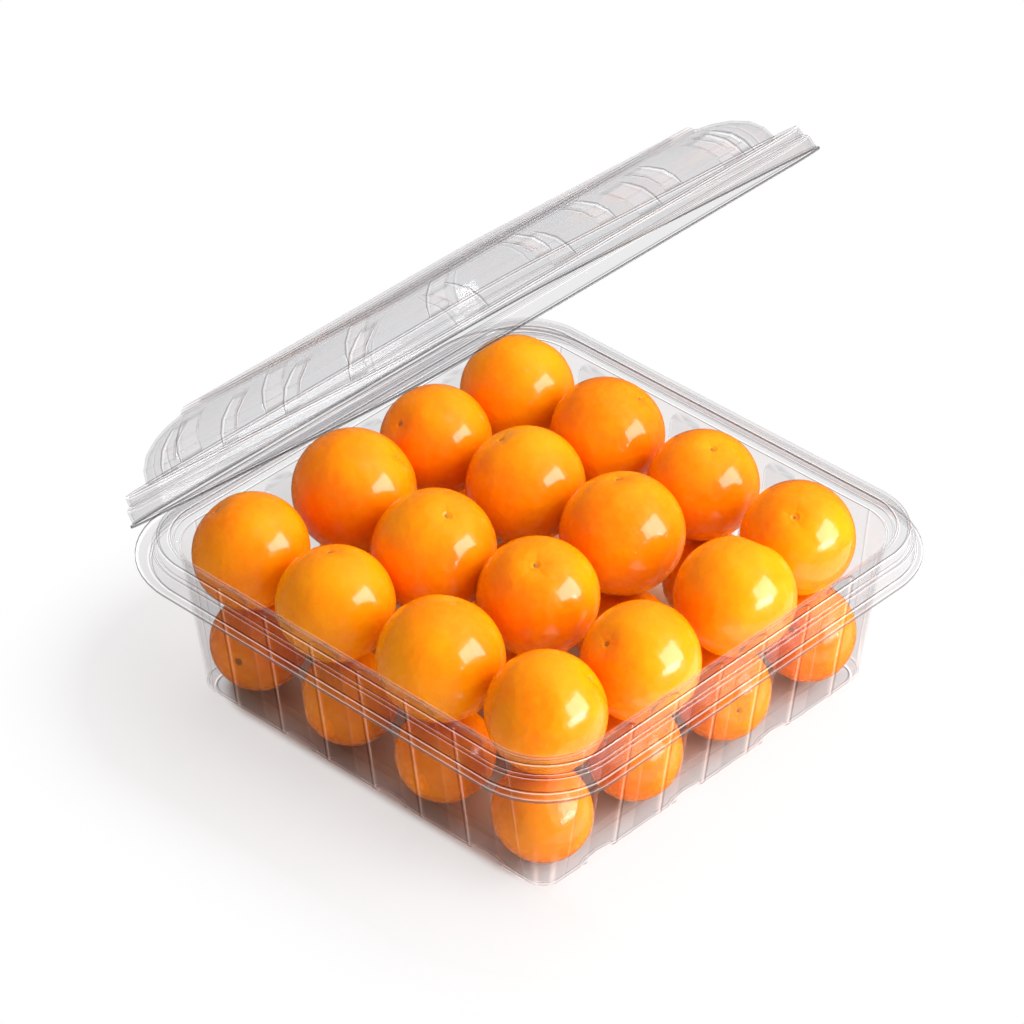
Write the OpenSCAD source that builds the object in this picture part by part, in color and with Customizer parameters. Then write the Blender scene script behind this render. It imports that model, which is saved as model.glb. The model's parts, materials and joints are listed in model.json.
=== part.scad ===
// Hinged clear clamshell pack, moulded from thin clear sheet, filled with two layers of round
// orange fruit. The tray rests on the ground at z = 0 and opens upward. Its hinge runs along X
// on the +Y side, and the lid is drawn propped open. Sizes are in millimetres.

/* [Tray] */
// Width of the tray over its upper flange
flange_w = 150; // [146:1:156]
// Height of the tray from the ground to its upper flange
tray_h = 50; // [48:1:58]
// Width of the ledge on top of the rim
ledge_w = 4; // [3:0.5:4.5]
// How far the base stands in from the upper flange on each side
base_inset = 12.5; // [11.5:0.5:15]
// How far the wall stands in from the upper flange under the shoulder
wall_inset = 5.8; // [5:0.1:6.5]
// Thickness of the moulded sheet
sheet_t = 0.6; // [0.4:0.05:0.7]
// Radius of the base corners
base_r = 6; // [5:0.5:11]
// Radius of the rim corners at the opening
mouth_r = 16; // [14:0.5:21]
// Height of the raised middle of the floor
floor_rise = 0.8; // [0.5:0.1:1.2]
// Half width of the flat pad in the middle of the floor, which also touches the ground
pad_half = 10; // [6:0.5:12]

/* [Rim] */
// Depth of the rim from the upper flange to the top of the lower lip
rim_drop = 7.4; // [7:0.1:8]
// Width of the lower lip beyond the rim
lip_w = 2.4; // [2:0.2:4]
// Height of the step partway down the rim
rim_step_z = 3.2; // [2.8:0.1:3.6]
// Radius of the lip at the plain front corner
lip_r = 22; // [18:0.5:27]
// Radius of the lip and of the lid's flange at the corner that is lifted to open the pack
tab_r = 26; // [18:0.5:27]
// Radius of the lip at the two corners beside the hinge
lip_back_r = 27; // [18:0.5:29]

/* [Wall pockets] */
// Length at each end of a wall that is left without arched pockets
pocket_margin = 24.9; // [24:0.1:27]
// Width of the rib between two pockets
rib_w = 6.7; // [5.7:0.1:8.7]
// Depth of the pockets outward from the ribs between them
pocket_depth = 1.3; // [0.8:0.1:1.6]
// Distance of the arch tops below the upper flange
arch_drop = 5; // [4.5:0.5:8]
// Rise of an arch from its springing to its top
arch_rise = 4; // [2:0.5:6]
// Height of the vent mouths at the base edge
vent_h = 2.4; // [1.6:0.1:3]

/* [Lid] */
// Height of the lid from its flange to its flat top panel
lid_h = 19.6; // [19.4:0.1:24]
// Thickness of the lid sheet
lid_t = 0.6; // [0.4:0.05:0.7]
// How far the stacking ridge stands in from the upper flange
ridge_inset = 22; // [21:0.5:27]
// Height of the stacking ridge
ridge_h = 1.2; // [0.8:0.1:2]
// Width of the strips pressed into the lid's shoulder
strip_w = 7; // [5:0.5:9]
// Depth of those strips
strip_depth = 1.4; // [0.8:0.1:1.6]
// Radius of the lid's flange at its plain free corner
flange_r = 26; // [22:0.5:30]
// Radius of the lid's flange at the two corners beside the hinge
flange_back_r = 31; // [20:0.5:31]
// Length at each end of the lid's side that is left without strips
strip_margin = 13; // [13:0.5:17]
// Gap between the lid and the rim that it closes over
lid_fit = 0.5; // [0.4:0.05:0.7]

/* [Hinge] */
// Width of the hinge strip behind the lip
hinge_w = 4; // [3:0.2:6]
// Gap between lip and lid flange when the lid is shut
hinge_gap = 0.6; // [0.5:0.05:1]
// Angle of the lid above its shut position
open_angle = 42; // [0:1:138]

/* [Fruit] */
// Gap between neighbouring fruit in the lower layer
lower_gap = 7.8; // [7.4:0.2:10]
// Gap between neighbouring fruit of middling size in the upper layer
upper_gap = 2.3; // [2.3:0.1:4]
// Gap between the upper layer and the wall
wall_gap = 1.2; // [1.2:0.1:2]
// Least gap between the upper layer and the lid when it is shut
head_gap = 0.9; // [0.9:0.1:3]
// Height of a fruit as a share of its diameter
fruit_squat = 0.98; // [0.96:0.01:1]
// Gap between pieces that lie against each other
touch_gap = 0.15; // [0.1:0.05:0.3]

/* [Hidden] */
$fn = 48;

// Fruit in a row, and rows of fruit
PER_ROW = 4;
// Steps in one rounded corner, and pockets along one wall
CORNER_STEPS = 8;
POCKETS = 6;
STRIPS = 4;

rim_half = flange_w / 2;
base_half = rim_half - base_inset;
wall_top_half = rim_half - wall_inset;
pocket_pitch = (flange_w - 2 * pocket_margin) / POCKETS;
pocket_w = pocket_pitch - rib_w;
arch_top_z = tray_h - arch_drop;
ridge_half = rim_half - ridge_inset;
strip_pitch = (flange_w - 2 * strip_margin) / STRIPS;
mouth_half = rim_half - ledge_w;
// The rim's skirt leans out by this much above and below its step
skirt_lean = 0.4;
step_out = 0.9;
skirt_half = rim_half + 2 * skirt_lean + step_out;
lip_half = skirt_half + lip_w;
lip_z = tray_h - rim_drop;
hinge_y = lip_half + hinge_w;
hinge_z = lip_z + hinge_gap / 2;
// The strips on both sides of the hinge line stop just short of it
crease_gap = 0.1;
back_reach = hinge_w - crease_gap;

// Shapes of the sheets: a section is a list of stations [half width, z, corner radii, relief],
// and every station becomes one ring of points around the pack.

function unit(v) = v / norm(v);
function left_of(v) = [-v[1], v[0]];
function leg(s, i) = unit([s[i + 1][0] - s[i][0], s[i + 1][1] - s[i][1]]);
function side_a(s, i) = left_of(leg(s, max(i - 1, 0)));
function side_b(s, i) = left_of(leg(s, min(i, len(s) - 2)));
// Offset of station i for a sheet of thickness 1, mitred where the section bends
function mitre(s, i) = let (a = side_a(s, i), b = side_b(s, i)) (a + b) / (1 + a * b);
function facing(s, i) = unit(side_a(s, i) + side_b(s, i));

function turn(p, k) = k == 0 ? p : turn([-p[1], p[0]], k - 1);
function to_ring(p, z, back) = [p[0], p[1] + (p[1] > 0 ? back : 0), z];

// One corner of a rounded square, as points
function corner(half, r, k) =
    [for (j = [0:CORNER_STEPS]) let (a = 90 * j / CORNER_STEPS)
        turn([half - r + r * cos(a), half - r + r * sin(a)], k)];

// Where points lie across one pocket or strip, as shares of its half width, and how deep it is
ACROSS = [-1.14, -0.9, -0.5, 0, 0.5, 0.9, 1.14];
DEPTH = [0, 0.82, 0.96, 1, 0.96, 0.82, 0];
ARCH = [0, 0.35, 0.86, 1, 0.86, 0.35, 0];
LENS = [0, 0.36, 0.85, 1, 0.85, 0.36, 0];
PER_POCKET = len(ACROSS);

// Relief of a ring: [number of pockets, pitch, width, depth along the facing direction,
// kind of height change, height change, alternate pockets only]
PLAIN = [0];
function count(relief) = relief[0];
function has_vent(i, k) = (i + (k == 0 || k == 3 ? 0 : 1)) % 2 == 0;
function rise_of(relief, i, j, k) =
    relief[4] == "arch" ? relief[5] * (ARCH[j] - 1)
    : relief[4] == "vent" ? (has_vent(i, k) ? relief[5] * LENS[j] : 0) : 0;

function side_points(half, z, relief, face, k) = [
    for (i = [0:1:count(relief) - 1]) for (j = [0:PER_POCKET - 1])
        let (u = (i - (count(relief) - 1) / 2) * relief[1] + ACROSS[j] * relief[2] / 2,
             d = relief[3] * DEPTH[j],
             p = turn([half + d * face[0], u], k))
        [p[0], p[1], z + d * face[1] + rise_of(relief, i, j, k)]];

function radius(r, k) = is_list(r) ? r[k] : r;

// A whole ring. The sides come first in each quarter, then the corner that follows them.
function ring(half, z, r, relief, face, back) = [
    for (k = [0:3]) each concat(
        side_points(half, z, relief, face, k),
        [for (p = corner(half, radius(r, k), k)) to_ring(p, z, back)])];

// How far from the middle of a side its relief reaches. A corner starts beyond it.
function side_reach(relief) = count(relief) == 0 ? 0
    : (count(relief) - 1) / 2 * relief[1] + max(ACROSS) * relief[2] / 2 + 0.2;

// Ring of station i, moved by t to the left of the section's direction
function ring_at(s, i, t) =
    let (m = mitre(s, i) * t, face = facing(s, i), r = s[i][2], half = s[i][0] + m[0])
    ring(half, s[i][1] + m[1],
        is_list(r) ? [for (q = r) q + m[0]] : min(r + m[0], half - side_reach(s[i][3])),
        s[i][3], face, s[i][4]);

function ring_size(relief) = 4 * (count(relief) * PER_POCKET + CORNER_STEPS + 1);
function quarter(relief) = count(relief) * PER_POCKET + CORNER_STEPS + 1;

// Point of a plain ring that belongs to point n of a ring with relief
function plain_match(n, relief) =
    let (q = quarter(relief), side = count(relief) * PER_POCKET,
         k = floor(n / q), j = n % q, c = CORNER_STEPS + 1)
    j >= side ? k * c + j - side
    : j < side / 2 ? ((k + 3) % 4) * c + CORNER_STEPS : k * c;

// Faces between ring a (first point at sa) and the next ring b (first point at sb)
function band(sa, ra, sb, rb) =
    let (na = ring_size(ra), nb = ring_size(rb))
    na == nb ? [for (n = [0:na - 1]) each
        [[sa + n, sb + (n + 1) % na, sa + (n + 1) % na], [sa + n, sb + n, sb + (n + 1) % na]]]
    : na > nb ? [for (n = [0:na - 1])
        let (m = plain_match(n, ra), mm = plain_match((n + 1) % na, ra)) each concat(
            [[sa + n, sb + m, sa + (n + 1) % na]],
            m == mm ? [] : [[sa + (n + 1) % na, sb + m, sb + mm]])]
    : [for (n = [0:nb - 1])
        let (m = plain_match(n, rb), mm = plain_match((n + 1) % nb, rb)) each concat(
            [[sa + m, sb + n, sb + (n + 1) % nb]],
            m == mm ? [] : [[sa + m, sb + (n + 1) % nb, sa + mm]])];

function fan(centre, start, size, flip) = [for (n = [0:size - 1])
    flip ? [centre, start + (n + 1) % size, start + n] : [centre, start + n, start + (n + 1) % size]];

function sum_to(v, n) = n <= 0 ? 0 : v[n - 1] + sum_to(v, n - 1);

// A closed sheet of thickness t. Station 0 is the middle point, and the section's own line is
// one skin of the sheet, with the other to its left.
module sheet(s, t) {
    n = len(s) - 1;
    order = concat([for (i = [1:n]) [i, 0]], [for (i = [n:-1:1]) [i, t]]);
    rings = [for (o = order) ring_at(s, o[0], o[1])];
    sizes = [for (r = rings) len(r)];
    starts = [for (i = [0:len(sizes) - 1]) sum_to(sizes, i)];
    total = sum_to(sizes, len(sizes));
    points = concat([for (r = rings) each r], [[0, 0, s[0][1]], [0, 0, s[0][1] + t * facing(s, 0)[1]]]);
    faces = concat(
        fan(total, starts[0], sizes[0], false),
        [for (i = [0:len(order) - 2]) each
            band(starts[i], s[order[i][0]][3], starts[i + 1], s[order[i + 1][0]][3])],
        fan(total + 1, starts[len(order) - 1], sizes[len(order) - 1], true));
    polyhedron(points, faces);
}

// Half width of the tray wall's outer face at height z
wall_foot_z = 2.2;
foot_lean = 0.6;
wall_foot_half = base_half + foot_lean;
shoulder_drop = 3.6;
wall_top_z = tray_h - shoulder_drop;
function wall_half(z) = wall_foot_half
    + (wall_top_half - wall_foot_half) * (z - wall_foot_z) / (wall_top_z - wall_foot_z);

// The foot round the base, the slopes beside it and beside the pad, and the rounding at its toe
foot_w = 7.4;
foot_slope = 2;
pad_slope = 1.2;
toe = 1.4;
// Shares of the vent height at the toe and at the foot of the wall, and of the pocket depth there
VENT_AT_TOE = 0.8;
VENT_AT_WALL = 0.3;
DEPTH_AT_FOOT = 0.7;
// How much tighter the corners are at the foot, at the arches, above them and at the shoulder
foot_tight = 1;
arch_tight = 1.4;
ease_tight = 1.2;
shoulder_tight = 1;
mouth_ease = 0.2;
// The arches end over this height, and the shoulder above them turns outward in two steps
arch_ease = 0.9;
shoulder_step = 0.5;
shoulder_rise = 1.4;
// The rim's step slopes down by this much
step_drop = 0.6;
rim_r = mouth_r + ledge_w;
function pockets(depth, kind, change) = [POCKETS, pocket_pitch, pocket_w, depth, kind, change];

// Section of the tray, along its lower and outer face
tray_section = [
    [0, 0, 0, PLAIN, 0],
    [pad_half, 0, pad_half / 2, PLAIN, 0],
    [pad_half + pad_slope, floor_rise, pad_half / 2 + pad_slope, PLAIN, 0],
    [base_half - foot_w - foot_slope, floor_rise, base_r - foot_slope, PLAIN, 0],
    [base_half - foot_w, 0, base_r - foot_tight, pockets(0, "vent", floor_rise), 0],
    [base_half - toe, 0, base_r, pockets(0, "vent", vent_h * VENT_AT_TOE), 0],
    [wall_foot_half, wall_foot_z, base_r + toe,
        pockets(pocket_depth * DEPTH_AT_FOOT, "vent", vent_h * VENT_AT_WALL), 0],
    [wall_half(arch_top_z), arch_top_z, mouth_r - arch_tight,
        pockets(pocket_depth, "arch", arch_rise), 0],
    [wall_half(arch_top_z + arch_ease), arch_top_z + arch_ease, mouth_r - ease_tight,
        pockets(0, "arch", arch_rise), 0],
    [wall_half(wall_top_z + shoulder_step), wall_top_z + shoulder_step, mouth_r - shoulder_tight,
        PLAIN, 0],
    [mouth_half, wall_top_z + shoulder_rise, mouth_r + mouth_ease, PLAIN, 0],
    [mouth_half + sheet_t, tray_h - sheet_t, mouth_r + sheet_t, PLAIN, 0],
    [rim_half - sheet_t, tray_h - sheet_t, rim_r - sheet_t, PLAIN, 0],
    [rim_half + skirt_lean - sheet_t, tray_h - rim_step_z, rim_r + skirt_lean - sheet_t, PLAIN, 0],
    [rim_half + skirt_lean + step_out - sheet_t, tray_h - rim_step_z - step_drop,
        rim_r + skirt_lean + step_out - sheet_t, PLAIN, 0],
    [skirt_half - sheet_t, lip_z - sheet_t, rim_r + 2 * skirt_lean + step_out - sheet_t, PLAIN, 0],
    [lip_half, lip_z - sheet_t, [lip_back_r, lip_back_r, lip_r, tab_r], PLAIN, back_reach]
];

// Section of the lid, along its inner face, as it lies when shut
flange_z = lip_z + hinge_gap;
cap_z = flange_z + lid_h - lid_t;
band_top_z = tray_h + lid_fit;
band_in = rim_half + lid_fit;
dome_inset = 5;
dome_half = rim_half - dome_inset;
shoulder_share = 0.32;
shoulder_z = band_top_z + (cap_z - band_top_z) * shoulder_share;
// Half widths of the ridge at its foot and at its top, and where the dome starts to fall
ridge_foot = 2.4;
ridge_top = 1.5;
dome_start = 5.5;
dome_fall = 9.5;
// How far the lid has sunk below its top panel just outside the ridge and at those two places
ridge_sink = 0.2;
start_sink = 1;
fall_sink = 2.6;
// The steep part of the dome: how far its ends stand in from the dome's foot, and the share of
// the fall above its upper end
steep_top = 3.6;
steep_foot = 1.2;
steep_share = 0.62;
// The lid's corners keep one centre from the dome wall inward, down to a least radius
least_r = 7;
dome_round = 0.8;
function dome_r(half) = max(least_r, mouth_r + dome_round - dome_half + half);
// Shares of the strip depth where a strip runs in and where it runs out
STRIP_TOP = 0.8;
STRIP_FOOT = 0.9;
// The band that closes over the rim: heights above the rim's step at which its own step begins
// and ends, how much of its lean lies above the step, and the rounding there
band_step_top = 1;
band_step_foot = 0.4;
BAND_LEAN = 0.6;
band_round = 0.3;
function strips(depth) = [STRIPS, strip_pitch, strip_w, depth, "none", 0];

lid_section = [
    [0, cap_z, 0, PLAIN, 0],
    [ridge_half - ridge_foot, cap_z, dome_r(ridge_half - ridge_foot), PLAIN, 0],
    [ridge_half - ridge_top, cap_z + ridge_h, dome_r(ridge_half - ridge_top), PLAIN, 0],
    [ridge_half + ridge_top, cap_z + ridge_h, dome_r(ridge_half + ridge_top), PLAIN, 0],
    [ridge_half + ridge_foot, cap_z - ridge_sink, dome_r(ridge_half + ridge_foot), PLAIN, 0],
    [ridge_half + dome_start, cap_z - start_sink, dome_r(ridge_half + dome_start), strips(0), 0],
    [ridge_half + dome_fall, cap_z - fall_sink, dome_r(ridge_half + dome_fall),
        strips(-strip_depth * STRIP_TOP), 0],
    [dome_half - steep_top, cap_z - (cap_z - shoulder_z) * steep_share, dome_r(dome_half - steep_top),
        strips(-strip_depth), 0],
    [dome_half - steep_foot, shoulder_z, dome_r(dome_half - steep_foot),
        strips(-strip_depth * STRIP_FOOT), 0],
    [dome_half, band_top_z, dome_r(dome_half), strips(0), 0],
    [band_in, band_top_z, rim_r + lid_fit, PLAIN, 0],
    [band_in + skirt_lean * BAND_LEAN, tray_h - rim_step_z + band_step_top,
        rim_r + lid_fit + band_round, PLAIN, 0],
    [band_in + skirt_lean + step_out, tray_h - rim_step_z + band_step_foot,
        rim_r + lid_fit + skirt_lean + step_out, PLAIN, 0],
    [band_in + 2 * skirt_lean + step_out, flange_z, rim_r + lid_fit + 2 * skirt_lean + step_out,
        PLAIN, 0],
    [lip_half, flange_z, [flange_back_r, flange_back_r, flange_r, tab_r], PLAIN, back_reach]
];

module tray() {
    color([0.86, 0.88, 0.89, 0.4]) sheet(tray_section, sheet_t);
}

module lid() {
    color([0.86, 0.88, 0.89, 0.4])
        translate([0, hinge_y, hinge_z]) rotate([-open_angle, 0, 0]) translate([0, -hinge_y, -hinge_z])
            sheet(lid_section, lid_t);
}

// Outline of half a fruit: a squat round body with a shallow hollow at its stem end and a
// slight point at its blossom end
FRUIT_STEPS = 18;
function fruit_radius(a) = 1 - 0.085 * exp(-pow((90 - a) / 14, 2)) + 0.012 * exp(-pow((90 + a) / 9, 2));
function fruit_outline(d) = concat(
    [for (j = [0:FRUIT_STEPS]) let (a = -90 + 180 * j / FRUIT_STEPS, r = fruit_radius(a) * d / 2)
        [j == 0 || j == FRUIT_STEPS ? 0 : r * cos(a), r * sin(a) * fruit_squat]]);

module fruit(d, lean, spin) {
    color([1, 0.58, 0.05])
        rotate([0, 0, spin]) rotate([lean, 0, 0]) rotate_extrude() polygon(fruit_outline(d));
}

// Sizes of the upper fruit as shares of the middling one, by row inward from the -X wall, and
// how far each lies off the grid, as a share of the same, so that they lie as loose fruit do
SIZES = [[1.00, 1.04, 0.98, 0.98], [0.98, 1.00, 1.04, 1.06],
         [1.00, 1.04, 1.00, 0.96], [0.96, 0.94, 0.98, 0.98]];
NUDGE_X = [[0.10, 0.00, -0.02, 0.00], [0.02, 0.08, -0.08, 0.06],
           [0.10, 0.10, 0.06, 0.02], [0.00, 0.04, 0.00, -0.06]];
NUDGE_Y = [[0.06, 0.04, 0.12, 0.04], [-0.04, 0.06, 0.00, -0.02],
           [-0.02, 0.14, 0.12, 0.04], [0.16, 0.16, 0.12, 0.04]];

// Heights, as shares of the tray's, where the room for each layer is measured
lower_level = 0.28;
upper_level = 0.88;
floor_top = floor_rise + sheet_t;
lower_room = 2 * (wall_half(tray_h * lower_level) - sheet_t);
upper_room = 2 * (wall_half(tray_h * upper_level) - sheet_t - wall_gap);
lower_fit = (lower_room - (PER_ROW - 1) * lower_gap) / PER_ROW;
upper_fit = (upper_room - (PER_ROW - 1) * upper_gap) / PER_ROW;
largest = max([for (row = SIZES) max(row)]);
// Both layers together, and the height there is for them under the shut lid
stack_h = lower_fit + upper_fit * largest * (1 + fruit_squat) / 2;
stack_room = cap_z - head_gap - floor_top - 2 * touch_gap;
stack_share = min(1, stack_room / stack_h);
lower_d = lower_fit * stack_share;
upper_d = upper_fit * stack_share;

// How far fruit lean from upright, how much that changes, and how they are turned, in degrees
LOWER_TURN = [65, 35, 137, 77];
UPPER_TURN = [32, 18, 97, 51];
function lean(n, t) = t[0] + t[1] * sin(t[2] * n);
function spin(n, t) = t[3] * n;

// The lower layer stands on the floor against the ribs of the wall, four by four
lower_z = floor_top + touch_gap + lower_d / 2;
lower_edge = wall_half(lower_z) - sheet_t - touch_gap - lower_d / 2;
lower_pitch = 2 * lower_edge / (PER_ROW - 1);
upper_pitch = (upper_room - upper_d) / (PER_ROW - 1);
function grid(i, pitch) = (i - (PER_ROW - 1) / 2) * pitch;
function row_of(n) = floor((n - 1) / PER_ROW);
function column_of(n) = (n - 1) % PER_ROW;

module lower_fruit(n) {
    translate([grid(row_of(n), lower_pitch), grid(column_of(n), lower_pitch), lower_z])
        fruit(lower_d, lean(n, LOWER_TURN), spin(n, LOWER_TURN));
}

// The height of an upper fruit follows from the fruit that it rests on
module upper_fruit(n) {
    i = row_of(n);
    j = column_of(n);
    d = upper_d * SIZES[i][j];
    x = grid(i, upper_pitch) + NUDGE_X[i][j] * upper_d;
    y = grid(j, upper_pitch) + NUDGE_Y[i][j] * upper_d;
    off_x = x - grid(i, lower_pitch);
    off_y = y - grid(j, lower_pitch);
    reach = (lower_d + d) / 2 + touch_gap;
    z = lower_z + sqrt(reach * reach - off_x * off_x - off_y * off_y);
    translate([x, y, z]) fruit(d, lean(n, UPPER_TURN), spin(n, UPPER_TURN));
}

tray();
lid();
for (n = [1:16]) lower_fruit(n);
for (n = [1:16]) upper_fruit(n);
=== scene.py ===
"""A clear hinged clamshell pack filled with two layers of glossy orange fruit.

The tray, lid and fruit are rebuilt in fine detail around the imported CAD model. All sizes in this
file are in millimetres unless a property has a unit, and MM turns them into metres.
"""

import json
import math

import bpy
import numpy as np
from mathutils import Matrix, Vector


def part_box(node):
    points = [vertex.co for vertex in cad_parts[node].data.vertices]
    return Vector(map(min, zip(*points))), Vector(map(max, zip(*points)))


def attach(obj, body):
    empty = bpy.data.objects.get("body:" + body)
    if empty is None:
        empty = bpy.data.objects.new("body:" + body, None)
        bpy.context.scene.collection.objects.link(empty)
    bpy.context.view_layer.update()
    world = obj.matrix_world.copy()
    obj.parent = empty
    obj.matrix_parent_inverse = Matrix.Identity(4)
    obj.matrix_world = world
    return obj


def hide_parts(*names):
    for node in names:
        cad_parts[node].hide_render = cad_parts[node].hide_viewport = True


bl_info = {
    "name": "Clear Clamshell Fruit Pack",
    "version": (1, 0, 0),
    "blender": (4, 5, 0),
    "location": "View3D > Sidebar > Clamshell",
    "description": "Builds a clear clamshell pack of orange fruit around its packed CAD model",
    "category": "Add Mesh",
}

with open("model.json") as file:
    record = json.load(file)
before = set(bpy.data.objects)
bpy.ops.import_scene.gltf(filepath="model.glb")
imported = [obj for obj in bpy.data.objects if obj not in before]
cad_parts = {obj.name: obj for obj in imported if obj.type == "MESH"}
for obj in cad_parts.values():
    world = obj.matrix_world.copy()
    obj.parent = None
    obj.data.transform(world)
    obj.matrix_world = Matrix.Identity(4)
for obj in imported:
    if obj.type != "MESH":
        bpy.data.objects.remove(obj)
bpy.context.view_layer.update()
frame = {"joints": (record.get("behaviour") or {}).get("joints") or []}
MM = 0.001
LAYER_SIZE = 16
HINGE = frame["joints"][0]

# Sections of the two sheets, as in the part's source: half width, height, corner radii (back,
# left, front, right), pocket depth, vent lift, and how far the back corners reach out.
RIM_HALF, TRAY_H, MOUTH_HALF, BASE_HALF = 75.0, 50.0, 71.0, 62.5
SHEET_T, FLOOR_RISE, PAD_HALF = 0.6, 0.8, 10.0
BASE_R, MOUTH_R, LEDGE_W = 6.0, 16.0, 4.0
LIP_HALF, LIP_Z, BACK_REACH = 79.1, 42.6, 3.9
LIP_R, FLANGE_R = (27.0, 27.0, 22.0, 26.0), (31.0, 31.0, 26.0, 26.0)
FOOT_W, FOOT_HALF, FOOT_Z, WALL_TOP_HALF, WALL_TOP_Z = 7.4, 63.1, 2.2, 69.2, 46.4
ARCH_TOP, ARCH_RISE, ARCH_EASE = 45.0, 4.0, 0.9
VENT_H, POCKET_DEPTH, POCKET_PITCH, POCKET_W, POCKETS = 2.4, 1.3, 16.7, 10.0, 6
FLANGE_Z, CAP_Z, BAND_TOP, BAND_IN, DOME_HALF = 43.2, 62.2, 50.5, 75.5, 70.0
RIDGE_HALF, RIDGE_H, STRIP_DEPTH, STRIP_PITCH, STRIP_W, STRIPS = 53.0, 1.2, 1.4, 31.0, 7.0, 4
RIM_STEP, LID_FIT, SKIRT_LEAN, STEP_OUT = 3.2, 0.5, 0.4, 0.9
SHOULDER_Z = BAND_TOP + (CAP_Z - BAND_TOP) * 0.32

# The section's smallest ring, round the middle of the floor and of the top panel, and its radius
HUB_HALF, HUB_R = 0.4, 0.2

# A rounded bend's radius, the rows across it, and how much of the legs beside it it may take
BEND_R, BEND_ROWS, BEND_EASE, BEND_SHARE = 0.6, (0.0, 0.25, 0.5, 0.75, 1.0), 0.02, 0.46
# Spacing of the rows up a pocket or strip. In the zone of the pockets' arches they are closer,
# and a long leg beside that zone keeps every eighth of the closer rows.
TRAY_STEP, LID_STEP, ARCH_ZONE, NO_ZONE, LONG_LEG = 2.5, 0.8, (38.5, 47.5, 0.5), (0, 0, 1), 10
# Smallest corner radius, and what a side's straight part keeps beyond its last point
SMALLEST_R, STRAIGHT_SPARE = 0.15, 0.4
# Edges sharper than this, in degrees, stay sharp: in the sheet and in a fruit
SHEET_SHARP, FRUIT_SHARP = 50, 180

# A bend as sharp as this, in radians, gets its painted shade line and painted highlight line in
# full
LINE_TURN = 0.9
# Where the painted shade line and the painted highlight line lie across a bend, and how wide they
# are, as shares of it
TRAY_DRAWN = ((0.3, 0.25), (0.75, 0.25))
LID_DRAWN = ((0.3, 0.25), (0.75, 0.2))
# Widths of the painted shade line along the outer edge of a sheet and of the painted highlight
# line inside it
EDGE_LINE, EDGE_GLINT = 0.2, 0.7
# Below this height a bend is rounder
FOOT_TOP, FOOT_BEND = 3.0, 1.0
# Strength of the painted highlight line beside a bend, at the foot and elsewhere, and the gain of
# the foot's painted shade line
FOOT_LIGHT, BEND_LIGHT, FOOT_DARK = 1.0, 0.42, 2
# Strength of the painted shade lines, with fainter painted highlight lines, where a wall ends and
# its corner starts, and of the painted glints low in a corner
WALL_END_LINE, CORNER_GLINT, GLINT_Z, GLINT_H = 0.4, 0.35, 5.0, 5.0
# Close steps round a corner where its painted lines are drawn, in radians
CORNER_STEP = 0.03

# Across a pocket or strip, as shares of its half width: where its side ends and how wide the side
# is, where the painted shade line and the painted highlight line lie and how wide they are, and
# how far the painted fill reaches
SIDE_END, SIDE_W = 1.16, 0.32
DARK_AT, DARK_W, LIGHT_AT, LIGHT_W, FILL_TO = 1.09, 0.03, 1.0, 0.02, 0.9
VENT_END, ARCH_END, STRIP_LINE_END = 1.14, 1.12, 1.06
# How strong the painted shade line, the painted highlight line and the painted shade filling a
# pocket are, and the painted highlight filling a strip
POCKET_LINES, STRIP_LINES, STRIP_FILL = (0.8, 0.4, 0.2), (1.0, 0.4, 0.0), 0.07
# Strength and height of the painted shade line over a pocket's arch, and of the one that closes a
# strip's ends
ARCH_LINE, ARCH_LINE_H, ARCH_POWER = 0.5, 0.4, 2.4
CLOSING_LINE, CLOSING_AT, CLOSING_W = 0.8, 0.35, 0.12
# Depth of a relief, in millimetres, from which its painted lines are drawn in full
FULL_DRAWN = 0.3

# Where points lie across one pocket or strip, as shares of its half width
ACROSS = (-1.2, -1.13, -1.09, -1.05, -1.0, -0.96, -0.92, -0.8, 0.0,
          0.8, 0.92, 0.96, 1.0, 1.05, 1.09, 1.13, 1.2)


def smooth_step(x):
    x = np.clip(x, 0.0, 1.0)
    return x * x * (3.0 - 2.0 * x)


def tray_wall_half(z):
    share = (z - FOOT_Z) / (WALL_TOP_Z - FOOT_Z)
    return FOOT_HALF + (WALL_TOP_HALF - FOOT_HALF) * share


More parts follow.
